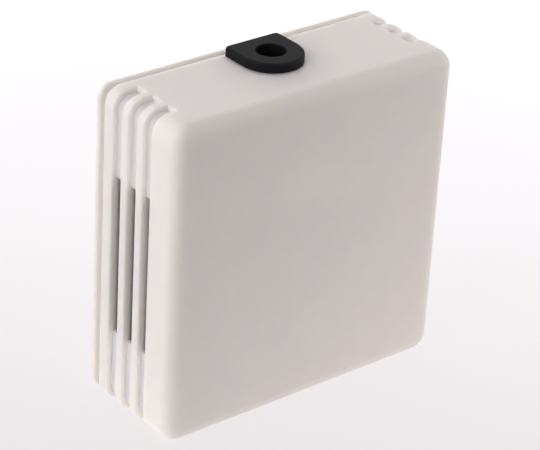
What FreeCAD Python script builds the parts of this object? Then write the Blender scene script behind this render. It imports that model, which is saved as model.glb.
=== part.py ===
import FreeCAD
import Part

import math
import os

# Room housing for a resistance temperature sensor: a square shell with side air slots on a wall plate.
# Millimetres. +X is right seen from the front, the front faces -Y, the wall is on +Y, +Z is up.
# Origin: under the middle of the housing, on the plane that the lower edge stands on.
# "Out" values are distances from the wall plane towards the front.

# Cutting shapes run this far past the faces they cut, and points this close count as one
overshoot = 1.0
touch = 1e-4

# Housing
housing_width = 71.0
housing_height = 71.0
housing_depth = 26.6
corner_radius = 4.0
front_edge_radius = 3.0
wall = 2.0
front_wall = 2.2
inner_edge_radius = 1.2
inner_corner_radius = 0.5

# Rear plate
plate_thickness = 2.5
plate_flange = 1.4
plate_side_inset = 0.05
plate_top_inset = 0.4
plate_rise = 1.0
plate_corner_radius = 3.0
plate_edge_radius = 0.45
plate_core_inset = 0.15
back_recess = 0.7
back_recess_inset = 5.0
back_recess_corner = 2.0
back_pad_rim = 2.4

# Side grooves and air slots
seam_groove_end = 2.8
groove_start = 5.7
groove_pitch = 5.0
groove_width = 2.9
last_groove_width = 2.55
groove_count = 3
groove_depth = 1.15
groove_reach = 5.75
strip_edge_radius = 0.35
slot_low = 17.1
slot_length = 35.3

# Locating rim of the plate
rim_clearance = 0.35
rim_thickness = 1.2
rim_height = 2.6
grip_rib_gap = 0.06
grip_rib_width = 1.6
grip_rib_spread = 40.0

# Cable grommet
grommet_out = 9.9
grommet_bore_radius = 3.15
grommet_flange_radius = 6.85
grommet_flange_thickness = 2.0
grommet_flange_back = 3.3
grommet_back_corner = 1.0
grommet_edge_radius = 0.6
grommet_bore_edge_radius = 0.2
grommet_neck_radius = 4.9
grommet_collar_radius = 6.6
grommet_collar_thickness = 1.9
grommet_nose_radius = 5.9
grommet_nose_tip_radius = 4.9
grommet_nose_length = 2.2
grommet_clearance = 0.1

# Cradle of the plate that holds the grommet
cradle_thickness = 1.6
cradle_half_width = 8.0
cradle_reach = 12.4
gusset_thickness = 1.5
gusset_height = 7.0
gusset_lap = 0.2
plate_lap = 0.5

# Wall fixing slots and rear cable entry
fixing_spacing = 50.0
fixing_radius = 2.1
fixing_slot_length = 8.0
fixing_drop = 15.0
rear_entry_width = 16.0
rear_entry_height = 8.0
rear_entry_rise = 0.6
rear_entry_corner = 1.5

# Circuit board
board_width = 38.0
board_height = 25.0
board_thickness = 1.6
board_low = 24.0
board_corner = 1.0
board_out = 7.5
boss_radius = 3.2
board_screw_inset = 3.5
board_screw_rise = 4.0
board_screw_radius = 1.3
board_screw_clearance = 0.2
board_screw_length = 6.0
board_screw_head_radius = 2.7
board_screw_head_height = 1.9
board_screw_head_round = 0.85
board_screw_tip_length = 0.8
board_screw_tip_radius = 0.3
cross_reach = 1.65
cross_half_width = 0.32
cross_depth = 1.15
pilot_extra_depth = 0.5
pilot_clearance = 0.05

# Screw terminal
pole_count = 4
pole_pitch = 5.08
terminal_end_wall = 0.3
terminal_height = 10.6
terminal_length = 9.0
terminal_rise = 13.5
terminal_edge = 0.5
cage_width = 3.8
cage_length = 3.6
cage_clearance = 0.12
cage_side = 0.4
cage_floor_start = 0.7
cage_floor = 0.8
wire_space = 2.8
bar_thickness = 0.8
bar_width = 2.5
bar_clearance = 0.1
cage_roof = 1.3
cage_axis_rise = 4.6
mouth_width = 3.0
thread_radius = 1.25
thread_clearance = 0.05
screw_head_radius = 1.85
screw_head_height = 1.5
screw_well_clearance = 0.12
screw_slot_width = 0.6
screw_slot_depth = 0.8
screw_edge = 0.2
cage_travel = 1.35
travel_clearance = 0.15
pin_width = 0.9
pin_length = 1.6
pin_rise = 0.6
pin_hole_radius = 0.75

# Solder side
pad_radius = 1.6
track_width = 1.2
track_thickness = 0.1
solder_radius = 1.35
solder_height = 1.1
solder_tip_radius = 0.7
lead_pad_radius = 1.02
lead_solder_radius = 0.92
lead_solder_height = 0.9
lead_solder_tip = 0.29

# Platinum resistance element
chip_width = 2.0
chip_length = 2.3
chip_thickness = 0.65
chip_drop = 11.0
film_inset = 0.25
film_thickness = 0.05
film_line = 0.12
film_turns = 4
glass_length = 0.9
glass_thickness = 0.45
glass_round = 0.18
glass_inset = 0.1
glass_end_gap = 0.05
lead_in_glass = 0.72
lead_radius = 0.14
lead_chip_spacing = 1.0
lead_board_spacing = 2.54
lead_straight = 1.2
lead_fan = 3.0
lead_bend = 0.8
lead_stand = 1.4
lead_hole_radius = 0.35
lead_hole_rise = 1.6
lead_tail = 1.2
sleeve_radius = 0.5
sleeve_clearance = 0.06
sleeve_end_gap = 0.3

half_width = housing_width / 2
wall_y = housing_depth / 2
board_front = board_out + board_thickness
board_screw_spacing = board_width - 2 * board_screw_inset
terminal_low = board_low + terminal_rise
chip_low = board_low - chip_drop
fixing_height = housing_height - fixing_drop
UP = FreeCAD.Vector(0, 0, 1)
FRONT = FreeCAD.Vector(0, -1, 0)


def at(x, out, z):
    """A point given by its distance out from the wall plane."""
    return FreeCAD.Vector(x, wall_y - out, z)


def block(x_low, x_high, out_low, out_high, z_low, z_high):
    """A box between two distances out from the wall."""
    return Part.makeBox(x_high - x_low, out_high - out_low, z_high - z_low, at(x_low, out_high, z_low))


def rod(radius, start, direction, length):
    return Part.makeCylinder(radius, length, start, direction)


def join(shapes):
    """One clean solid from pieces that touch or overlap."""
    first, *rest = shapes
    return first.multiFuse(rest).removeSplitter()


def group(shapes):
    """Separate solids that share one node."""
    return Part.makeCompound(shapes)


def edges_along(shape, axis):
    """Straight edges that run along an axis."""
    found = []
    for edge in shape.Edges:
        if isinstance(edge.Curve, Part.Line):
            if abs(abs(edge.Curve.Direction.dot(axis)) - 1) < touch:
                found.append(edge)
    return found


def edges_at_out(shape, out):
    """Edges that lie at one distance out from the wall."""
    y = wall_y - out
    return [e for e in shape.Edges if abs(e.BoundBox.YMin - y) < touch and abs(e.BoundBox.YMax - y) < touch]


def edges_at_height(shape, z):
    """Edges that lie at one height."""
    return [e for e in shape.Edges if abs(e.BoundBox.ZMin - z) < touch and abs(e.BoundBox.ZMax - z) < touch]


def square_slab(inset, start, end, corner):
    """A square with round corners, drawn in by inset, between two distances out from the wall."""
    slab = block(inset - half_width, half_width - inset, start, end, inset, housing_height - inset)
    return slab.makeFillet(corner, edges_along(slab, FRONT))


def outline_slab(inset, start, end):
    """The housing's own outline, drawn in by inset."""
    return square_slab(inset, start, end, max(corner_radius - inset, inner_corner_radius))


def rounded_slab(inset, start, end, radius):
    """An outline slab with both of its rims rounded."""
    slab = outline_slab(inset, start, end)
    return slab.makeFillet(radius, edges_at_out(slab, start) + edges_at_out(slab, end))


def middle_block(start, end):
    """The part of the top and bottom walls that the grooves stop short of, its end edges rounded."""
    reach = half_width - groove_reach
    middle = block(-reach, reach, start, end, 0, housing_height)
    return middle.makeFillet(strip_edge_radius, edges_along(middle, FRONT))


def grooves():
    """Where each groove starts and ends, measured from the wall."""
    widths = [groove_width] * (groove_count - 1) + [last_groove_width]
    starts = [groove_start + groove_pitch * i for i in range(groove_count)]
    return [(start, start + width) for start, width in zip(starts, widths)]


def d_prism(radius, back, low, height):
    """A D shape seen from above: round towards the front, flat towards the wall."""
    half = block(-radius, radius, grommet_out, grommet_out + radius, low, low + height)
    round_part = rod(radius, at(0, grommet_out, low), UP, height).common(half)
    square_part = block(-radius, radius, back, grommet_out, low, low + height)
    return join([round_part, square_part])


def make_front_cover():
    starts = [start for start, end in grooves()]
    ends = [end for start, end in grooves()]
    body_start = ends[-1]
    strips = list(zip([seam_groove_end] + ends, starts))
    front_body = outline_slab(0, body_start, housing_depth)
    front_body = front_body.makeFillet(front_edge_radius, edges_at_out(front_body, housing_depth))
    front_body = front_body.makeFillet(strip_edge_radius, edges_at_out(front_body, body_start))
    lap_end = body_start + wall
    pieces = [front_body, middle_block(starts[0] - strip_edge_radius, lap_end)]
    pieces.append(outline_slab(groove_depth, plate_thickness, lap_end))
    pieces += [rounded_slab(0, a, b, strip_edge_radius) for a, b in strips]
    shell = join(pieces)
    room = outline_slab(wall, plate_thickness - overshoot, housing_depth - front_wall)
    room = room.makeFillet(inner_edge_radius, edges_at_out(room, housing_depth - front_wall))
    shell = shell.cut(room)
    for start, end in grooves():
        reach = half_width + overshoot
        shell = shell.cut(block(-reach, reach, start, end, slot_low, slot_low + slot_length))
    notch_radius = grommet_neck_radius + grommet_clearance
    notch = d_prism(notch_radius, plate_thickness - overshoot, housing_height - wall - overshoot,
                    wall + 2 * overshoot)
    return shell.cut(notch).removeSplitter()


def plate_flange_slab():
    """The plate's thin outer flange, which stops short of the lower edge that the housing stands on."""
    reach = half_width - plate_side_inset
    flange = block(-reach, reach, 0, plate_flange, plate_rise, housing_height - plate_top_inset)
    flange = flange.makeFillet(plate_corner_radius, edges_along(flange, FRONT))
    return flange.makeFillet(plate_edge_radius, edges_at_out(flange, 0) + edges_at_out(flange, plate_flange))


def make_rear_plate():
    core = outline_slab(groove_depth + plate_core_inset, 0, plate_thickness)
    outer_inset = wall + rim_clearance
    inner_inset = outer_inset + rim_thickness
    rim_end = plate_thickness + rim_height
    rim = outline_slab(outer_inset, plate_thickness - plate_lap, rim_end)
    rim = rim.cut(outline_slab(inner_inset, plate_thickness - overshoot, rim_end + overshoot))
    rim_gap = cradle_half_width + rim_clearance
    rim = rim.cut(block(-rim_gap, rim_gap, plate_thickness - overshoot, rim_end + overshoot,
                        cradle_top(), housing_height))
    pieces = [plate_flange_slab(), core, rim]
    pieces += grip_ribs(rim_end)
    pieces += grommet_cradle()
    screw_z = board_low + board_screw_rise
    for x in (-board_screw_spacing / 2, board_screw_spacing / 2):
        boss = rod(boss_radius, at(x, plate_thickness - plate_lap, screw_z), FRONT,
                   board_out - plate_thickness + plate_lap)
        pieces.append(boss)
    plate = join(pieces)
    for x in (-board_screw_spacing / 2, board_screw_spacing / 2):
        depth = board_screw_length - board_thickness + pilot_extra_depth
        pilot = rod(board_screw_radius + pilot_clearance, at(x, board_out - depth, screw_z), FRONT,
                    depth + overshoot)
        plate = plate.cut(pilot)
    recess = square_slab(back_recess_inset, -overshoot, back_recess, back_recess_corner)
    for x in (-fixing_spacing / 2, fixing_spacing / 2):
        plate = plate.cut(level_slot(x, fixing_radius, plate_thickness + overshoot))
        recess = recess.cut(level_slot(x, fixing_radius + back_pad_rim, plate_thickness))
    plate = plate.cut(recess)
    entry_low = board_low + board_height + rear_entry_rise
    entry = block(-rear_entry_width / 2, rear_entry_width / 2, -overshoot, plate_thickness + overshoot,
                  entry_low, entry_low + rear_entry_height)
    entry = entry.makeFillet(rear_entry_corner, edges_along(entry, FRONT))
    return plate.cut(entry).removeSplitter()


def grip_ribs(rim_end):
    """Low ribs on the outside of the rim that centre the cover and let it slide on."""
    outer = half_width - wall - rim_clearance
    height = rim_clearance - grip_rib_gap
    start = plate_thickness - plate_lap
    ribs = []
    for side in (-1, 1):
        for z in (housing_height / 2 - grip_rib_spread / 2, housing_height / 2 + grip_rib_spread / 2):
            x_low, x_high = sorted((side * (outer - plate_lap), side * (outer + height)))
            ribs.append(block(x_low, x_high, start, rim_end, z - grip_rib_width / 2, z + grip_rib_width / 2))
    for x in (-grip_rib_spread / 2, grip_rib_spread / 2):
        low = wall + rim_clearance
        high = housing_height - low
        for z_low, z_high in ((low - height, low + plate_lap), (high - plate_lap, high + height)):
            ribs.append(block(x - grip_rib_width / 2, x + grip_rib_width / 2, start, rim_end, z_low, z_high))
    return ribs


def cradle_top():
    return housing_height - wall - grommet_clearance - grommet_collar_thickness


def grommet_cradle():
    """A shelf with a notch open to the front, and a gusset under each of its sides."""
    top = cradle_top()
    low = top - cradle_thickness
    start = plate_thickness - plate_lap
    shelf = block(-cradle_half_width, cradle_half_width, start, cradle_reach, low, top)
    notch_radius = grommet_neck_radius + grommet_clearance
    notch = rod(notch_radius, at(0, grommet_out, low - overshoot), UP, cradle_thickness + 2 * overshoot)
    mouth = block(-notch_radius, notch_radius, grommet_out, cradle_reach + overshoot,
                  low - overshoot, top + overshoot)
    shelf = shelf.cut(notch).cut(mouth)
    pieces = [shelf]
    for side in (-1, 1):
        x_low, x_high = sorted((side * cradle_half_width, side * (cradle_half_width - gusset_thickness)))
        lap = low + gusset_lap
        corners = [at(x_low, start, lap), at(x_low, cradle_reach, lap), at(x_low, start, low - gusset_height)]
        gusset = Part.Face(Part.makePolygon(corners + corners[:1]))
        pieces.append(gusset.extrude(FreeCAD.Vector(x_high - x_low, 0, 0)))
    return pieces


def level_slot(x, radius, end):
    """A level slot, from behind the wall plane to end, for a wall screw or the pad round it."""
    z = fixing_height
    run = fixing_slot_length / 2 - fixing_radius
    rounds = [rod(radius, at(x + dx, -overshoot, z), FRONT, end + overshoot) for dx in (-run, run)]
    return join(rounds + [block(x - run, x + run, -overshoot, end, z - radius, z + radius)])


def make_cable_grommet():
    top = housing_height + grommet_clearance
    collar_top = housing_height - wall - grommet_clearance
    shelf_top = cradle_top()
    shelf_low = shelf_top - cradle_thickness
    nose_low = shelf_low - grommet_nose_length
    flange = d_prism(grommet_flange_radius, grommet_flange_back, top, grommet_flange_thickness)
    back = wall_y - grommet_flange_back
    back_corners = [e for e in edges_along(flange, UP) if abs(back - e.BoundBox.YMin) < touch]
    flange = flange.makeFillet(grommet_back_corner, back_corners)
    flange = flange.makeFillet(grommet_edge_radius, edges_at_height(flange, top + grommet_flange_thickness))
    neck = d_prism(grommet_neck_radius, grommet_flange_back, collar_top, top - collar_top)
    collar = d_prism(grommet_collar_radius, grommet_flange_back, shelf_top, collar_top - shelf_top)
    lower_neck = rod(grommet_neck_radius, at(0, grommet_out, shelf_low), UP, cradle_thickness)
    nose = Part.makeCone(grommet_nose_tip_radius, grommet_nose_radius, grommet_nose_length,
                         at(0, grommet_out, nose_low), UP)
    body = join([flange, neck, collar, lower_neck, nose])
    bore = rod(grommet_bore_radius, at(0, grommet_out, nose_low - overshoot), UP, housing_height)
    body = body.cut(bore)
    rims = [e for e in edges_at_height(body, top + grommet_flange_thickness) if is_bore_rim(e)]
    return body.makeFillet(grommet_bore_edge_radius, rims)


def is_bore_rim(edge):
    return isinstance(edge.Curve, Part.Circle) and abs(edge.Curve.Radius - grommet_bore_radius) < touch


def pole_x(index):
    return (index - (pole_count - 1) / 2) * pole_pitch


def pin_z():
    return terminal_low + pin_width / 2 + pin_rise


def cage_z():
    return terminal_low + cage_axis_rise


def bar_start():
    return board_front + cage_floor_start + cage_floor + wire_space


def cage_roof_start():
    return bar_start() + bar_thickness + bar_clearance


def screw_head_start():
    return cage_roof_start() + cage_roof + cage_travel + travel_clearance


def lead_x(side):
    return side * lead_board_spacing / 2


def lead_hole_z():
    return board_low + lead_hole_rise


def make_circuit_board():
    board = block(-board_width / 2, board_width / 2, board_out, board_front,
                  board_low, board_low + board_height)
    board = board.makeFillet(board_corner, edges_along(board, FRONT))
    for x in (-board_screw_spacing / 2, board_screw_spacing / 2):
        radius = board_screw_radius + board_screw_clearance
        board = board.cut(rod(radius, at(x, 0, board_low + board_screw_rise), FRONT, housing_depth))
    for i in range(pole_count):
        board = board.cut(rod(pin_hole_radius, at(pole_x(i), 0, pin_z()), FRONT, housing_depth))
    for side in (-1, 1):
        board = board.cut(rod(lead_hole_radius, at(lead_x(side), 0, lead_hole_z()), FRONT, housing_depth))
    return board


def track(x_low, x_high, z_low, z_high):
    start = board_out - track_thickness
    return block(x_low, x_high, start, board_out, z_low, z_high)


def make_board_tracks():
    """Two nets, each from a pair of poles to one lead, on the solder side."""
    nets = []
    start = board_out - track_thickness
    half_track = track_width / 2
    for side in (-1, 1):
        poles = [pole_x(i) for i in range(pole_count) if pole_x(i) * side > 0]
        inner = min(poles, key=abs)
        outer = max(poles, key=abs)
        link = [rod(pad_radius, at(x, start, pin_z()), FRONT, track_thickness) for x in poles]
        low_x, high_x = sorted((inner, outer))
        link.append(track(low_x, high_x, pin_z() - half_track, pin_z() + half_track))
        turn_z = lead_hole_z() + lead_board_spacing
        link.append(track(inner - half_track, inner + half_track, turn_z - half_track, pin_z()))
        low_x, high_x = sorted((inner, lead_x(side)))
        link.append(track(low_x - half_track, high_x + half_track, turn_z - half_track, turn_z + half_track))
        lead = lead_x(side)
        link.append(track(lead - half_track, lead + half_track, lead_hole_z(), turn_z))
        link.append(rod(lead_pad_radius, at(lead, start, lead_hole_z()), FRONT, track_thickness))
        net = join(link)
        for x in poles:
            net = net.cut(rod(pin_hole_radius, at(x, 0, pin_z()), FRONT, housing_depth))
        nets.append(net.cut(rod(lead_hole_radius, at(lead, 0, lead_hole_z()), FRONT, housing_depth)))
    return group(nets)


def make_board_screw(side):
    x = side * board_screw_spacing / 2
    z = board_low + board_screw_rise
    head = rod(board_screw_head_radius, at(x, board_front, z), FRONT, board_screw_head_height)
    head = head.makeFillet(board_screw_head_round, edges_at_out(head, board_front + board_screw_head_height))
    end = board_front - board_screw_length
    shank = rod(board_screw_radius, at(x, end + board_screw_tip_length, z), FRONT,
                board_screw_length - board_screw_tip_length)
    tip = Part.makeCone(board_screw_tip_radius, board_screw_radius, board_screw_tip_length,
                        at(x, end, z), FRONT)
    screw = join([head, shank, tip])
    top = board_front + board_screw_head_height
    deep = top - cross_depth
    for across, upright in ((cross_reach, cross_half_width), (cross_half_width, cross_reach)):
        screw = screw.cut(block(x - across, x + across, deep, top + overshoot, z - upright, z + upright))
    return screw


def terminal_front():
    return board_front + terminal_height


def make_terminal_housing():
    half = pole_count * pole_pitch / 2 + terminal_end_wall
    high = terminal_low + terminal_length
    housing = block(-half, half, board_front, terminal_front(), terminal_low, high)
    housing = housing.makeChamfer(terminal_edge, edges_at_out(housing, terminal_front()))
    room_half = cage_width / 2 + cage_clearance
    room_end = cage_roof_start() + cage_roof + cage_travel + travel_clearance
    for i in range(pole_count):
        x = pole_x(i)
        room = block(x - room_half, x + room_half, board_front - overshoot, room_end,
                     cage_z() - cage_length / 2 - cage_clearance, cage_z() + cage_length / 2 + cage_clearance)
        well = rod(screw_head_radius + screw_well_clearance, at(x, room_end - overshoot, cage_z()), FRONT,
                   terminal_height)
        mouth = block(x - mouth_width / 2, x + mouth_width / 2, bar_start() - wire_space, bar_start(),
                      cage_z(), high + overshoot)
        bar_room = block(x - bar_width / 2 - bar_clearance, x + bar_width / 2 + bar_clearance,
                         bar_start() - bar_clearance, bar_start() + bar_thickness + bar_clearance,
                         pin_z() - pin_width / 2 - bar_clearance, cage_z())
        leg_room = block(x - pin_width / 2 - bar_clearance, x + pin_width / 2 + bar_clearance,
                         board_front - overshoot, bar_start(),
                         pin_z() - pin_width / 2 - bar_clearance, pin_z() + pin_width / 2 + bar_clearance)
        for hollow in (room, well, mouth, bar_room, leg_room):
            housing = housing.cut(hollow)
    return housing


def make_terminal_bar(x):
    start = bar_start()
    plate = block(x - bar_width / 2, x + bar_width / 2, start, start + bar_thickness,
                  pin_z() - pin_width / 2, cage_z() + cage_length / 2 + cage_clearance)
    leg = block(x - pin_width / 2, x + pin_width / 2, board_out - pin_length, start + bar_thickness,
                pin_z() - pin_width / 2, pin_z() + pin_width / 2)
    return join([plate, leg])


def make_terminal_cage(x):
    z = cage_z()
    floor_start = board_front + cage_floor_start
    roof_end = cage_roof_start() + cage_roof
    cage = block(x - cage_width / 2, x + cage_width / 2, floor_start, roof_end,
                 z - cage_length / 2, z + cage_length / 2)
    window = block(x - cage_width / 2 + cage_side, x + cage_width / 2 - cage_side,
                   floor_start + cage_floor, cage_roof_start(), z - cage_length, z + cage_length)
    thread = rod(thread_radius + thread_clearance, at(x, cage_roof_start() - overshoot, z), FRONT,
                 cage_roof + 2 * overshoot)
    return cage.cut(window).cut(thread)


def make_terminal_screw(x):
    z = cage_z()
    tip = bar_start() + bar_thickness + thread_clearance
    head_start = screw_head_start()
    shank = rod(thread_radius, at(x, tip, z), FRONT, head_start - tip + screw_edge)
    shank = shank.makeChamfer(screw_edge, edges_at_out(shank, tip))
    head = rod(screw_head_radius, at(x, head_start, z), FRONT, screw_head_height)
    head = head.makeChamfer(screw_edge, edges_at_out(head, head_start + screw_head_height))
    screw = join([shank, head])
    top = head_start + screw_head_height
    reach = screw_head_radius + overshoot
    slot = block(x - reach, x + reach, top - screw_slot_depth, top + overshoot,
                 z - screw_slot_width / 2, z + screw_slot_width / 2)
    return screw.cut(slot)


def solder_fillet(x, z, radius, tip_radius, height, core):
    """A solder cone on its pad with the hole for the pin or lead that it holds."""
    base = board_out - track_thickness
    cone = Part.makeCone(tip_radius, radius, height, at(x, base - height, z), FRONT)
    return cone.cut(core)


def make_solder_joints():
    fillets = []
    for i in range(pole_count):
        x = pole_x(i)
        fillets.append(solder_fillet(x, pin_z(), solder_radius, solder_tip_radius, solder_height,
                                     make_terminal_bar(x)))
    for side in (-1, 1):
        core = rod(lead_radius, at(lead_x(side), 0, lead_hole_z()), FRONT, board_front)
        fillets.append(solder_fillet(lead_x(side), lead_hole_z(), lead_solder_radius, lead_solder_tip,
                                     lead_solder_height, core))
    return group(fillets)


def lead_out():
    """How far the leads run in front of the board, measured from the wall."""
    return board_front + lead_stand


def chip_back():
    return lead_out() - lead_radius - chip_thickness


def bent_path(points, radii):
    """Straight runs joined by tangent arcs of the given radii."""
    edges = []
    last = points[0]
    for before, corner, after, radius in zip(points, points[1:], points[2:], radii):
        to_before = (before - corner).normalize()
        to_after = (after - corner).normalize()
        half_angle = to_before.getAngle(to_after) / 2
        setback = radius / math.tan(half_angle)
        start = corner + to_before * setback
        end = corner + to_after * setback
        inward = (to_before + to_after).normalize()
        middle = corner + inward * (radius / math.sin(half_angle) - radius)
        edges.append(Part.makeLine(last, start))
        edges.append(Part.Arc(start, middle, end).toShape())
        last = end
    edges.append(Part.makeLine(last, points[-1]))
    return Part.Wire(edges)


def make_lead(side):
    """From the chip, fanned out to the board's hole pitch, up in front of the board and back through it."""
    chip_x = side * lead_chip_spacing / 2
    board_x = lead_x(side)
    out = lead_out()
    chip_top = chip_low + chip_length
    fan_low = chip_top + lead_straight
    points = [at(chip_x, out, chip_top - lead_in_glass), at(chip_x, out, fan_low),
              at(board_x, out, fan_low + lead_fan), at(board_x, out, lead_hole_z()),
              at(board_x, board_out - track_thickness - lead_tail, lead_hole_z())]
    path = bent_path(points, [lead_bend, lead_bend, lead_bend])
    profile = Part.Wire(Part.makeCircle(lead_radius, points[0], UP))
    return path.makePipeShell([profile], True, False)


def make_lead_sleeves():
    sleeves = []
    low = chip_low + chip_length + lead_straight + lead_fan + sleeve_end_gap
    length = lead_hole_z() - lead_bend - sleeve_end_gap - low
    for side in (-1, 1):
        start = at(lead_x(side), lead_out(), low)
        tube = rod(sleeve_radius, start, UP, length)
        sleeves.append(tube.cut(rod(lead_radius + sleeve_clearance, start, UP, length)))
    return group(sleeves)


def make_element_chip():
    return block(-chip_width / 2, chip_width / 2, chip_back(), chip_back() + chip_thickness,
                 chip_low, chip_low + chip_length)


def make_element_film():
    """The platinum track: one folded line across the lower part of the chip."""
    start = chip_back() + chip_thickness
    half = chip_width / 2 - film_inset
    low = chip_low + film_inset
    high = chip_low + chip_length - glass_length - film_inset
    gap = 2 * half / (2 * film_turns - 1)
    end = start + film_thickness
    lines = []
    for i in range(2 * film_turns):
        x = -half + gap * i
        lines.append(block(x - film_line / 2, x + film_line / 2, start, end, low, high))
    for i in range(2 * film_turns - 1):
        x = -half + gap * i
        z = low if i % 2 else high - film_line
        lines.append(block(x - film_line / 2, x + gap + film_line / 2, start, end, z, z + film_line))
    return join(lines)


def make_element_glass(leads):
    start = chip_back() + chip_thickness
    top = chip_low + chip_length
    half = chip_width / 2 - glass_inset
    bead = block(-half, half, start, start + glass_thickness, top - glass_length, top - glass_end_gap)
    bead = bead.makeFillet(glass_round, edges_at_out(bead, start + glass_thickness))
    for lead in leads:
        bead = bead.cut(lead)
    return bead


def make_parts():
    leads = [make_lead(side) for side in (-1, 1)]
    parts = {
        "front_cover": make_front_cover(),
        "rear_plate": make_rear_plate(),
        "cable_grommet": make_cable_grommet(),
        "circuit_board": make_circuit_board(),
        "board_tracks": make_board_tracks(),
        "board_screw_left": make_board_screw(-1),
        "board_screw_right": make_board_screw(1),
        "terminal_housing": make_terminal_housing(),
        "solder_joints": make_solder_joints(),
        "element_chip": make_element_chip(),
        "element_film": make_element_film(),
        "element_glass": make_element_glass(leads),
        "element_leads": group(leads),
        "lead_sleeves": make_lead_sleeves(),
    }
    for i in range(pole_count):
        x = pole_x(i)
        parts[f"terminal_screw_{i + 1}"] = make_terminal_screw(x)
        parts[f"terminal_cage_{i + 1}"] = make_terminal_cage(x)
        parts[f"terminal_bar_{i + 1}"] = make_terminal_bar(x)
    return parts


def main():
    os.makedirs("parts", exist_ok=True)
    for name, shape in make_parts().items():
        shape.exportStep(f"parts/{name}.step")
        print(name, len(shape.Solids), "solids", shape.isValid(), round(shape.Volume, 3), "mm3")


main()
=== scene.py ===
import math

import bmesh
import bpy
from bpy.props import FloatProperty, FloatVectorProperty, PointerProperty
from mathutils import Matrix, Vector


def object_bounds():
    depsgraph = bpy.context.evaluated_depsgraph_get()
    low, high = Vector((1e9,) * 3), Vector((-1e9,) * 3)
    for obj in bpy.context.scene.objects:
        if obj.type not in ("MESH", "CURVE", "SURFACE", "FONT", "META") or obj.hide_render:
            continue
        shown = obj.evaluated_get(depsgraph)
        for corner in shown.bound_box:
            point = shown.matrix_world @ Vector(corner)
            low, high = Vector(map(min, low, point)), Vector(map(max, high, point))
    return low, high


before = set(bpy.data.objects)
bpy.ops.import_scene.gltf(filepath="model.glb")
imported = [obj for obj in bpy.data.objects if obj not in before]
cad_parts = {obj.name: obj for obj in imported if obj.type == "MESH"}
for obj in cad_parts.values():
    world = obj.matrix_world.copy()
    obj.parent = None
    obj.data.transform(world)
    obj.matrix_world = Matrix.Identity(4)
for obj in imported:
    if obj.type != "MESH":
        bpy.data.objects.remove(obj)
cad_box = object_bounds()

bl_info = {
    "name": "Room Temperature Sensor",
    "version": (1, 0, 0),
    "blender": (4, 5, 0),
    "location": "View3D > Sidebar > Sensor",
    "description": "Finishes for a square sensor housing and for the board, terminals and element in it",
    "category": "Object",
}

MM = 0.001
POLES = (1, 2, 3, 4)

# Mould texture: how close its coarse pits stand against its fine ones, and a patch of other shade
COARSE_SCALE = 0.31
DRIFT_SIZE = 9 * MM
# Width of a smear, and how close the patches of other tint stand against the smears
METAL_SMEAR_SIZE = 1.2 * MM
GLASS_SMEAR_SIZE = 0.5 * MM
TINT_SCALE = 0.4
# How much smoother and rougher smears make a metal than its own roughness
METAL_SMOOTHER = 0.08
METAL_ROUGHER = 0.12
# Board: how far a lacquered face points forwards or back, and the roughness of edges and lacquer
FACE_LIMIT = 0.5
EDGE_ROUGHNESS = 0.7
LACQUER_ROUGHNESS = 0.27
# Glass-fibre weave under the board's lacquer
WEAVE_SIZE = 5 * MM
WEAVE_WAVER = 1.5
WEAVE_DEPTH = 0.006 * MM

# Camera: the film's width in millimetres, and where its view starts
FILM_WIDTH = 36.0
VIEW_START = 10 * MM
# Floor: half its side, and how far it lies under the object
FLOOR_REACH = 6.0
FLOOR_GAP = 0.02 * MM
# The sheet's seen colour grows darker towards the front along this direction, a painted soft shadow, between
# these distances from the middle
SHEET_DIRECTION = (0.64, 0.77, 0)
SHEET_NEAR = -60 * MM
SHEET_FAR = 130 * MM
# Between these distances all round, the sheet turns plain and stops showing the lamps' light
PLAIN_START = 110 * MM
PLAIN_END = 230 * MM
# The floor's glow: its middle, and where it starts to fade and ends
GLOW_MIDDLE = (0, -30 * MM, 0)
GLOW_FULL = 30 * MM
GLOW_END = 90 * MM
# The rear sky fades between these heights of the view direction
SKY_LOW = 0.1
SKY_HIGH = 0.6

# Name, place, side length and the names of the power and tint of each lamp
LAMPS = (
    ("left lamp", (-0.60, -0.11, 0.29), 0.44, "left_power", "left_tint"),
    ("top lamp", (0.10, 0.12, 0.52), 0.40, "top_power", "tint"),
    ("near lamp", (0.26, -0.14, 0.09), 0.18, "near_power", "tint"),
)


# Small helpers for node trees

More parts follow.
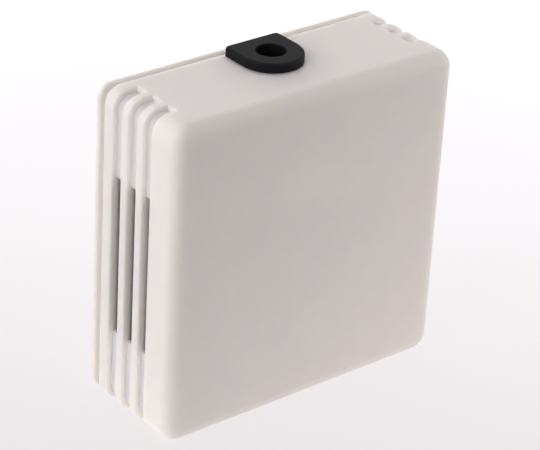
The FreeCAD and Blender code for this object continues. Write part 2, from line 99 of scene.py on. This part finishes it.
class Nodes:
    """A node tree with short ways to add, set and join nodes."""

    def __init__(self, tree):
        self.tree = tree
        tree.nodes.clear()

    def add(self, kind, **values):
        node = self.tree.nodes.new(kind)
        for key, value in values.items():
            setattr(node, key, value)
        return node

    def feed(self, target, value):
        """Joins a value to a socket, or sets the socket to a constant."""
        if isinstance(value, bpy.types.NodeSocket):
            self.tree.links.new(value, target)
        elif target.type == "RGBA":
            target.default_value = (*value, 1)
        else:
            target.default_value = value

    def math(self, operation, *values):
        node = self.add("ShaderNodeMath", operation=operation)
        for target, value in zip(node.inputs, values):
            self.feed(target, value)
        return node.outputs["Value"]

    def noise(self, place, scale, detail):
        """A noise as a value from 0 to 1."""
        node = self.add("ShaderNodeTexNoise")
        for key, value in (("Vector", place), ("Scale", scale), ("Detail", detail)):
            self.feed(node.inputs[key], value)
        return node.outputs["Fac"]

    def span(self, value, low, high):
        """A value from 0 to 1 spread over low to high."""
        return self.ramp(value, 0, 1, low, high, "LINEAR")

    def ramp(self, value, start, end, low=0, high=1, shape="SMOOTHSTEP"):
        """Goes from low to high while the value goes from start to end."""
        node = self.add("ShaderNodeMapRange", interpolation_type=shape)
        for key, limit in (("From Min", start), ("From Max", end), ("To Min", low), ("To Max", high)):
            node.inputs[key].default_value = limit
        self.feed(node.inputs["Value"], value)
        return node.outputs["Result"]

    def between(self, mask, first, second):
        """A colour that goes from first to second with the mask."""
        mix = self.add("ShaderNodeMix", data_type="RGBA")
        self.feed(mix.inputs["Factor"], mask)
        for name, colour in (("A", first), ("B", second)):
            target = next(s for s in mix.inputs if s.name == name and s.type == "RGBA")
            self.feed(target, colour)
        return next(s for s in mix.outputs if s.type == "RGBA")

    def shown(self):
        """1 for what the camera, reflections and glass see, and 0 for light on the object."""
        path = self.add("ShaderNodeLightPath")
        seen = path.outputs["Is Camera Ray"]
        for ray in ("Is Glossy Ray", "Is Transmission Ray"):
            seen = self.math("MAXIMUM", seen, path.outputs[ray])
        return seen

    def light(self, kind, colour, strength):
        """An even light of its own: an emission, or a background in the world."""
        node = self.add(kind)
        self.feed(node.inputs["Color"], colour)
        self.feed(node.inputs["Strength"], strength)
        return node.outputs[0]

    def mixed(self, mask, first, second):
        """One shader or the other, by the mask."""
        node = self.add("ShaderNodeMixShader")
        for target, value in zip(node.inputs, (mask, first, second)):
            self.feed(target, value)
        return node.outputs["Shader"]


class Sheet(Nodes):
    """A material with its shader and its object coordinates."""

    def __init__(self, name):
        self.material = bpy.data.materials.new(name)
        self.material.use_nodes = True
        super().__init__(self.material.node_tree)
        self.output = self.add("ShaderNodeOutputMaterial")
        self.shader = self.add("ShaderNodeBsdfPrincipled")
        self.feed(self.output.inputs["Surface"], self.shader.outputs["BSDF"])
        self.coordinates = self.add("ShaderNodeTexCoord")
        self.place = self.coordinates.outputs["Object"]

    def effect(self, group, **values):
        """A shared node group fed with the object coordinates and its own values."""
        node = self.add("ShaderNodeGroup", node_tree=group)
        self.feed(node.inputs["Place"], self.place)
        self.set_sockets(node, values)
        return node

    def surface(self, **values):
        """Constants or joined values on the shader's own sockets."""
        self.set_sockets(self.shader, values)

    def set_sockets(self, node, values):
        for key, value in values.items():
            self.feed(node.inputs[key.replace("_", " ")], value)

    def relief(self, height, depth):
        """A bump of a real depth on the shader's normal."""
        bump = self.add("ShaderNodeBump")
        bump.inputs["Distance"].default_value = depth
        self.feed(bump.inputs["Height"], height)
        self.surface(Normal=bump.outputs["Normal"])


# Effects that several materials share

def new_group(name, outputs, **inputs):
    """A shader node group with a Place input, named value inputs and value outputs."""
    group = bpy.data.node_groups.new(name, "ShaderNodeTree")
    sockets = group.interface
    sockets.new_socket("Place", in_out="INPUT", socket_type="NodeSocketVector")
    for key, value in inputs.items():
        socket = sockets.new_socket(key.replace("_", " "), in_out="INPUT", socket_type="NodeSocketFloat")
        socket.default_value = value
    for key in outputs:
        sockets.new_socket(key, in_out="OUTPUT", socket_type="NodeSocketFloat")
    nodes = Nodes(group)
    return nodes, nodes.add("NodeGroupInput").outputs, nodes.add("NodeGroupOutput").inputs


def make_mould_grain():
    """The fine pitted face that a spark-eroded mould leaves: a height, and a slow drift of shade."""
    nodes, given, result = new_group("Mould Grain", ("Height", "Drift"),
                                     Grain_Size=0.4 * MM, Coarse_Share=0.35)
    place = given["Place"]
    fine_scale = nodes.math("DIVIDE", 1, given["Grain Size"])
    fine = nodes.noise(place, fine_scale, detail=2)
    coarse = nodes.noise(place, nodes.math("MULTIPLY", fine_scale, COARSE_SCALE), detail=1)
    share = nodes.math("MULTIPLY", coarse, given["Coarse Share"])
    nodes.feed(result["Height"], nodes.math("ADD", fine, share))
    nodes.feed(result["Drift"], nodes.noise(place, 1 / DRIFT_SIZE, detail=3))
    return nodes.tree


def make_handled_metal():
    """Faint smears on plated metal: a mask for roughness and one for the tint."""
    nodes, given, result = new_group("Handled Metal", ("Smear", "Tint"), Smear_Size=METAL_SMEAR_SIZE)
    place = given["Place"]
    scale = nodes.math("DIVIDE", 1, given["Smear Size"])
    nodes.feed(result["Smear"], nodes.noise(place, scale, detail=4))
    nodes.feed(result["Tint"], nodes.noise(place, nodes.math("MULTIPLY", scale, TINT_SCALE), detail=2))
    return nodes.tree


def mould_grain():
    return bpy.data.node_groups.get("Mould Grain") or make_mould_grain()


def handled_metal():
    return bpy.data.node_groups.get("Handled Metal") or make_handled_metal()


# Finishes that several pieces share

def dress(names, material):
    """Gives CAD nodes a finish through their own material slots."""
    for name in names:
        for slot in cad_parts[name].material_slots:
            slot.material = material


def shaded(colour, factor):
    return tuple(min(channel * factor, 1.0) for channel in colour)


def shades(colour, darker, lighter):
    return shaded(colour, darker), shaded(colour, lighter)


def around(middle, spread):
    return middle - spread, middle + spread


def moulded(name, node, colours, roughness, *, grain_size, coarse_share, grain_depth,
            rough_by="Height", **plain):
    """A moulded or fired face, with its grain, a slow drift of shade and an uneven roughness."""
    sheet = Sheet(name)
    grain = sheet.effect(mould_grain(), Grain_Size=grain_size, Coarse_Share=coarse_share).outputs
    sheet.surface(Base_Color=sheet.between(grain["Drift"], *colours),
                  Roughness=sheet.span(grain[rough_by], *roughness), **plain)
    sheet.relief(grain["Height"], grain_depth)
    dress((node,), sheet.material)


def metal(name, nodes, colour, roughness, dark):
    """A plated or bare metal with faint smears and a slight drift of tint."""
    sheet = Sheet(name)
    smear = sheet.effect(handled_metal(), Smear_Size=METAL_SMEAR_SIZE).outputs
    uneven = sheet.span(smear["Smear"], roughness - METAL_SMOOTHER, roughness + METAL_ROUGHER)
    sheet.surface(Base_Color=sheet.between(smear["Tint"], shaded(colour, dark), colour),
                  Roughness=uneven, Metallic=1)
    dress(nodes, sheet.material)


# Sizes and colours that a user may change

def colour_of(name, description, *default):
    return FloatVectorProperty(name=name, description=description, subtype="COLOR", size=3,
                               min=0, max=1, default=default)


def share_of(name, description, default):
    return FloatProperty(name=name, description=description, subtype="FACTOR", min=0, max=1,
                         default=default)


def length_of(name, description, default):
    return FloatProperty(name=name, description=description, unit="LENGTH", default=default, precision=5)


def angle_of(name, description, degrees):
    return FloatProperty(name=name, description=description, unit="ROTATION",
                         default=math.radians(degrees))


def power_of(name, description, default):
    return FloatProperty(name=name, description=description, unit="POWER", default=default)


class HousingFinish(bpy.types.PropertyGroup):
    colour: colour_of("Colour", "Colour of the moulded housing", 0.90, 0.88, 0.845)
    roughness: share_of("Roughness", "Roughness of the moulded face", 0.58)
    grain_size: length_of("Grain size", "Width of one pit of the mould texture", 0.42 * MM)
    grain_depth: length_of("Grain depth", "Depth of the mould texture", 0.02 * MM)
    scatter_depth: length_of("Scatter depth", "How far light spreads inside the cover", 3.0 * MM)
    plate_scatter_depth: length_of("Plate scatter depth", "The same for the rear plate", 0.3 * MM)
    scatter_share: FloatVectorProperty(name="Scatter share", size=3, min=0, max=1,
                                       description="Spread of red, green and blue light",
                                       default=(1.0, 0.97, 0.72))


class GrommetFinish(bpy.types.PropertyGroup):
    colour: colour_of("Colour", "Colour of the rubber", 0.0062, 0.0060, 0.0070)
    roughness: share_of("Roughness", "Roughness of the rubber", 0.62)


class BoardFinish(bpy.types.PropertyGroup):
    mask_colour: colour_of("Solder mask", "Colour of the lacquer on the board", 0.025, 0.15, 0.06)
    laminate_colour: colour_of("Laminate", "Colour of the board's bare edges", 0.42, 0.40, 0.20)
    copper_colour: colour_of("Copper", "Colour of the bare tracks", 0.76, 0.42, 0.25)
    solder_colour: colour_of("Solder", "Colour of the solder", 0.66, 0.66, 0.67)
    screw_colour: colour_of("Board screws", "Colour of the zinc plate", 0.66, 0.67, 0.70)


class TerminalFinish(bpy.types.PropertyGroup):
    body_colour: colour_of("Terminal body", "Colour of the terminal's plastic", 0.085, 0.092, 0.10)
    screw_colour: colour_of("Screws", "Colour of the clamping screws", 0.70, 0.70, 0.72)
    cage_colour: colour_of("Cages", "Colour of the nickel-plated cages", 0.70, 0.67, 0.62)
    bar_colour: colour_of("Bars", "Colour of the tinned contact bars", 0.73, 0.72, 0.69)


class ElementFinish(bpy.types.PropertyGroup):
    chip_colour: colour_of("Chip", "Colour of the ceramic chip", 0.84, 0.83, 0.79)
    film_colour: colour_of("Film", "Colour of the platinum track", 0.62, 0.60, 0.57)
    glass_colour: colour_of("Glass", "Tint of the sealing glass", 0.70, 0.80, 0.90)
    wire_colour: colour_of("Leads", "Colour of the drawn leads", 0.70, 0.69, 0.66)
    sleeve_colour: colour_of("Sleeves", "Colour of the sleeves", 0.82, 0.80, 0.74)


class StageLayout(bpy.types.PropertyGroup):
    focal_length: FloatProperty(name="Focal length", description="Lens on a 36 mm wide film",
                                unit="CAMERA", default=162.83)
    camera_place: FloatVectorProperty(name="Camera", description="Where the camera stands", size=3,
                                      subtype="TRANSLATION", unit="LENGTH", precision=5,
                                      default=(-0.28607, -0.33857, 0.27483))
    camera_turn: angle_of("Turn", "Camera's angle round the upright axis", -40.152)
    camera_rise: angle_of("Rise", "Camera's angle above the level", 28.439)
    camera_roll: angle_of("Roll", "Camera's tilt round its own axis", 3.358)
    sky_strength: FloatProperty(name="Sky", description="Strength of the even light all round",
                                default=0.03)
    rear_sky: FloatProperty(name="Rear sky", description="Strength of the low light from behind",
                            default=3.85)
    left_power: power_of("Left lamp", "Power of the large lamp on the left", 2.33)
    top_power: power_of("Top lamp", "Power of the lamp overhead", 0.87)
    near_power: power_of("Near lamp", "Power of the low lamp on the right", 0.40)
    left_tint: colour_of("Left tint", "Colour of the left lamp and the rear sky", 1.0, 0.95, 0.932)
    tint: colour_of("Tint", "Colour of the other lamps and of the floor's glow", 1.0, 0.92, 0.915)
    floor_glow: FloatProperty(name="Floor glow", default=0.385,
                              description="Light that the floor round the front throws up")
    floor_colour: colour_of("Floor", "Colour of the floor", 0.72, 0.70, 0.70)
    # The sheet's colour in front is darker than the far one: a painted soft shadow
    shadowed_near_backdrop: colour_of("Near backdrop", "Colour of the floor sheet in front", 0.82, 0.785, 0.793)
    far_backdrop: colour_of("Far backdrop", "Colour of the floor sheet behind, and of the sky",
                            0.985, 0.965, 1.0)
    # The sheet takes no lamp light, but its colour carries a painted shadow in front
    backdrop_share: share_of("Backdrop share", "How much of the floor is an evenly lit sheet", 0.8)
    backdrop_level: FloatProperty(name="Backdrop level", default=1.12,
                                  description="Brightness of that sheet and of the sky, as seen")


# Pieces

class SENSOR_OT_finish_housing(bpy.types.Operator):
    """Moulded plastic on the front cover and the rear plate"""
    bl_idname = "sensor.finish_housing"
    bl_label = "Housing"

    def execute(self, context):
        look = context.scene.housing_finish
        for name, node, depth in (("Cover Plastic", "front_cover", look.scatter_depth),
                                  ("Plate Plastic", "rear_plate", look.plate_scatter_depth)):
            moulded(name, node, shades(look.colour, 0.985, 1.015), around(look.roughness, 0.06),
                    grain_size=look.grain_size, coarse_share=0.4, grain_depth=look.grain_depth,
                    IOR=1.48, Subsurface_Weight=1, Subsurface_Radius=look.scatter_share,
                    Subsurface_Scale=depth)
        return {"FINISHED"}


class SENSOR_OT_finish_grommet(bpy.types.Operator):
    """Matt rubber on the cable grommet"""
    bl_idname = "sensor.finish_grommet"
    bl_label = "Cable grommet"

    def execute(self, context):
        look = context.scene.grommet_finish
        moulded("Moulded Rubber", "cable_grommet", shades(look.colour, 0.85, 1.15),
                around(look.roughness, 0.08), grain_size=0.3 * MM, coarse_share=0.5,
                grain_depth=0.02 * MM, rough_by="Drift", IOR=1.5, Specular_IOR_Level=0.10)
        return {"FINISHED"}


class SENSOR_OT_finish_board(bpy.types.Operator):
    """Lacquer, bare edges, copper, solder and zinc on the circuit board and its screws"""
    bl_idname = "sensor.finish_board"
    bl_label = "Circuit board"

    def execute(self, context):
        look = context.scene.board_finish
        self.finish_laminate(look)
        screws = ("board_screw_left", "board_screw_right")
        metal("Bare Copper", ("board_tracks",), look.copper_colour, 0.34, dark=0.72)
        metal("Soft Solder", ("solder_joints",), look.solder_colour, 0.24, dark=0.85)
        metal("Zinc Plate", screws, look.screw_colour, 0.30, dark=0.84)
        return {"FINISHED"}

    def finish_laminate(self, look):
        """Green lacquer on both faces; the edges and the holes' walls show the laminate."""
        sheet = Sheet("Lacquered Laminate")
        facing = sheet.add("ShaderNodeSeparateXYZ")
        sheet.feed(facing.inputs["Vector"], sheet.coordinates.outputs["Normal"])
        on_face = sheet.math("GREATER_THAN", sheet.math("ABSOLUTE", facing.outputs["Y"]), FACE_LIMIT)
        grain = sheet.effect(mould_grain(), Grain_Size=0.5 * MM, Coarse_Share=0.6).outputs
        lacquer = sheet.between(grain["Drift"], *shades(look.mask_colour, 0.8, 1.2))
        sheet.surface(Base_Color=sheet.between(on_face, look.laminate_colour, lacquer),
                      Roughness=sheet.span(on_face, EDGE_ROUGHNESS, LACQUER_ROUGHNESS))
        weave = sheet.add("ShaderNodeTexWave", bands_direction="X", wave_profile="SIN")
        for key, value in (("Vector", sheet.place), ("Scale", 1 / WEAVE_SIZE), ("Distortion", WEAVE_WAVER)):
            sheet.feed(weave.inputs[key], value)
        sheet.relief(weave.outputs["Fac"], WEAVE_DEPTH)
        dress(("circuit_board",), sheet.material)


class SENSOR_OT_finish_terminal(bpy.types.Operator):
    """Plastic, steel, nickel and tin on the screw terminal"""
    bl_idname = "sensor.finish_terminal"
    bl_label = "Screw terminal"

    def execute(self, context):
        look = context.scene.terminal_finish
        moulded("Terminal Plastic", "terminal_housing", shades(look.body_colour, 0.9, 1.1),
                around(0.42, 0.06), grain_size=0.25 * MM, coarse_share=0.4, grain_depth=0.008 * MM)
        screws, cages, bars = ([f"terminal_{kind}_{i}" for i in POLES] for kind in ("screw", "cage", "bar"))
        metal("Terminal Screw Steel", screws, look.screw_colour, 0.28, dark=0.82)
        metal("Cage Nickel", cages, look.cage_colour, 0.22, dark=0.86)
        metal("Tinned Bar", bars, look.bar_colour, 0.38, dark=0.88)
        return {"FINISHED"}


class SENSOR_OT_finish_element(bpy.types.Operator):
    """Ceramic, platinum, glass, wire and sleeves on the resistance element"""
    bl_idname = "sensor.finish_element"
    bl_label = "Resistance element"

    def execute(self, context):
        look = context.scene.element_finish
        for name, node, colour, roughness, depth in (
                ("Sintered Ceramic", "element_chip", look.chip_colour, 0.50, 0.006 * MM),
                ("Lead Sleeve", "lead_sleeves", look.sleeve_colour, 0.42, 0.004 * MM)):
            moulded(name, node, shades(colour, 0.95, 1.04), around(roughness, 0.05),
                    grain_size=0.12 * MM, coarse_share=0.3, grain_depth=depth)
        glass = Sheet("Sealing Glass")
        smear = glass.effect(handled_metal(), Smear_Size=GLASS_SMEAR_SIZE).outputs
        glass.surface(Base_Color=glass.between(smear["Tint"], *shades(look.glass_colour, 0.96, 1.04)),
                      Roughness=0.12, Transmission_Weight=0.55, IOR=1.52)
        dress(("element_glass",), glass.material)
        metal("Platinum Film", ("element_film",), look.film_colour, 0.36, dark=0.85)
        metal("Drawn Lead Wire", ("element_leads",), look.wire_colour, 0.26, dark=0.86)
        return {"FINISHED"}


# Stage

class SENSOR_OT_set_stage(bpy.types.Operator):
    """Pale floor, soft lamps, sky and the camera"""
    bl_idname = "sensor.set_stage"
    bl_label = "Stage"

    def execute(self, context):
        layout = context.scene.stage_layout
        self.make_floor(context, layout)
        self.make_sky(context, layout)
        for name, place, side, power, tint in LAMPS:
            self.make_lamp(context, name, Vector(place), side, getattr(layout, power), getattr(layout, tint))
        self.make_camera(context, layout)
        context.scene.view_settings.view_transform = "Standard"
        return {"FINISHED"}

    def make_floor(self, context, layout):
        shape = bmesh.new()
        bmesh.ops.create_grid(shape, x_segments=1, y_segments=1, size=FLOOR_REACH)
        bmesh.ops.translate(shape, verts=shape.verts, vec=Vector((0, 0, cad_box[0].z - FLOOR_GAP)))
        mesh = bpy.data.meshes.new("floor")
        shape.to_mesh(mesh)
        shape.free()
        floor = bpy.data.objects.new("floor", mesh)
        context.collection.objects.link(floor)
        sheet = Sheet("Pale Floor")
        sheet.surface(Base_Color=layout.floor_colour, Roughness=0.9, Specular_IOR_Level=0.1)
        self.light_backdrop(sheet, layout)
        mesh.materials.append(sheet.material)

    def light_backdrop(self, sheet, layout):
        """The camera and reflections see a sheet that is darker in front, a painted shadow; the object gets
        the floor's glow.
        """
        away = sheet.add("ShaderNodeVectorMath", operation="DOT_PRODUCT")
        sheet.feed(away.inputs[0], sheet.place)
        away.inputs[1].default_value = SHEET_DIRECTION
        distance = sheet.add("ShaderNodeVectorMath", operation="LENGTH")
        sheet.feed(distance.inputs[0], sheet.place)
        plain = sheet.ramp(distance.outputs["Value"], PLAIN_START, PLAIN_END)
        far = sheet.math("MAXIMUM", sheet.ramp(away.outputs["Value"], SHEET_NEAR, SHEET_FAR), plain)
        # Darker towards the front: painted shadow on the seen sheet
        colour = sheet.between(far, layout.shadowed_near_backdrop, layout.far_backdrop)
        backdrop = sheet.light("ShaderNodeEmission", colour, layout.backdrop_level)
        seen = sheet.shown()
        share = sheet.math("MULTIPLY", seen, sheet.span(plain, layout.backdrop_share, 1))
        lit = sheet.add("ShaderNodeAddShader")
        sheet.feed(lit.inputs[0], sheet.shader.outputs["BSDF"])
        sheet.feed(lit.inputs[1], self.floor_glow(sheet, layout, seen))
        sheet.feed(sheet.output.inputs["Surface"], sheet.mixed(share, lit.outputs["Shader"], backdrop))

    def floor_glow(self, sheet, layout, seen):
        """A soft round patch in front that lights the object and isn't seen itself."""
        offset = sheet.add("ShaderNodeVectorMath", operation="DISTANCE")
        sheet.feed(offset.inputs[0], sheet.place)
        offset.inputs[1].default_value = GLOW_MIDDLE
        patch = sheet.ramp(offset.outputs["Value"], GLOW_FULL, GLOW_END, layout.floor_glow, 0)
        strength = sheet.math("MULTIPLY", patch, sheet.math("SUBTRACT", 1, seen))
        return sheet.light("ShaderNodeEmission", layout.tint, strength)

    def make_sky(self, context, layout):
        """Faint light all round and low light from behind; what is seen is the far backdrop."""
        world = bpy.data.worlds.new("soft sky")
        world.use_nodes = True
        sky = Nodes(world.node_tree)
        light = sky.light("ShaderNodeBackground", layout.left_tint, self.sky_level(sky, layout))
        backdrop = sky.light("ShaderNodeBackground", layout.far_backdrop, layout.backdrop_level)
        output = sky.add("ShaderNodeOutputWorld")
        sky.feed(output.inputs["Surface"], sky.mixed(sky.shown(), light, backdrop))
        context.scene.world = world

    def sky_level(self, sky, layout):
        """Strongest towards the back and near the horizon."""
        parts = sky.add("ShaderNodeSeparateXYZ")
        sky.feed(parts.inputs["Vector"], sky.add("ShaderNodeTexCoord").outputs["Generated"])
        rear = sky.span(parts.outputs["Y"], 0, layout.rear_sky)
        low = sky.ramp(parts.outputs["Z"], SKY_LOW, SKY_HIGH, 1, 0)
        return sky.math("MULTIPLY_ADD", rear, low, layout.sky_strength)

    def make_lamp(self, context, name, place, side, power, tint):
        """A square lamp that points at the middle of the object."""
        data = bpy.data.lights.new(name, "AREA")
        data.shape = "SQUARE"
        data.size = side
        data.energy = power
        data.color = tint
        lamp = bpy.data.objects.new(name, data)
        lamp.visible_camera = False
        lamp.location = place
        middle = (cad_box[0] + cad_box[1]) / 2
        lamp.rotation_euler = (middle - place).to_track_quat("-Z", "Y").to_euler()
        context.collection.objects.link(lamp)

    def make_camera(self, context, layout):
        data = bpy.data.cameras.new("camera")
        data.sensor_width = FILM_WIDTH
        data.lens = layout.focal_length
        data.clip_start = VIEW_START
        camera = bpy.data.objects.new("camera", data)
        turn, rise, roll = layout.camera_turn, layout.camera_rise, layout.camera_roll
        back = Vector((math.sin(turn) * math.cos(rise), -math.cos(turn) * math.cos(rise), math.sin(rise)))
        level = (-back).cross(Vector((0, 0, 1))).normalized()
        upright = level.cross(-back)
        side = math.cos(roll) * level + math.sin(roll) * upright
        top = math.cos(roll) * upright - math.sin(roll) * level
        facing = Matrix((side, top, back)).transposed().to_4x4()
        camera.matrix_world = Matrix.Translation(layout.camera_place) @ facing
        context.collection.objects.link(camera)
        context.scene.camera = camera


# Panel

class SENSOR_PT_pieces(bpy.types.Panel):
    """Lists the pieces and the stage"""
    bl_idname = "SENSOR_PT_pieces"
    bl_label = "Temperature Sensor"
    bl_space_type = "VIEW_3D"
    bl_region_type = "UI"
    bl_category = "Sensor"

    def draw(self, context):
        for operator, holder, _ in PIECES:
            box = self.layout.box()
            settings = getattr(context.scene, holder)
            for key in settings.__annotations__:
                box.prop(settings, key)
            box.operator(operator.bl_idname)


# Each operator, with the scene property that holds its settings and their class
PIECES = (
    (SENSOR_OT_finish_housing, "housing_finish", HousingFinish),
    (SENSOR_OT_finish_grommet, "grommet_finish", GrommetFinish),
    (SENSOR_OT_finish_board, "board_finish", BoardFinish),
    (SENSOR_OT_finish_terminal, "terminal_finish", TerminalFinish),
    (SENSOR_OT_finish_element, "element_finish", ElementFinish),
    (SENSOR_OT_set_stage, "stage_layout", StageLayout),
)
CLASSES = (
    *(settings for _, _, settings in PIECES),
    *(operator for operator, _, _ in PIECES),
    SENSOR_PT_pieces,
)


def register():
    for item in CLASSES:
        bpy.utils.register_class(item)
    for _, holder, settings in PIECES:
        setattr(bpy.types.Scene, holder, PointerProperty(type=settings))


def unregister():
    for _, holder, _ in PIECES:
        delattr(bpy.types.Scene, holder)
    for item in reversed(CLASSES):
        bpy.utils.unregister_class(item)


def main():
    register()
    bpy.ops.sensor.finish_housing()
    bpy.ops.sensor.finish_grommet()
    bpy.ops.sensor.finish_board()
    bpy.ops.sensor.finish_terminal()
    bpy.ops.sensor.finish_element()
    bpy.ops.sensor.set_stage()


if __name__ == "__main__":
    main()
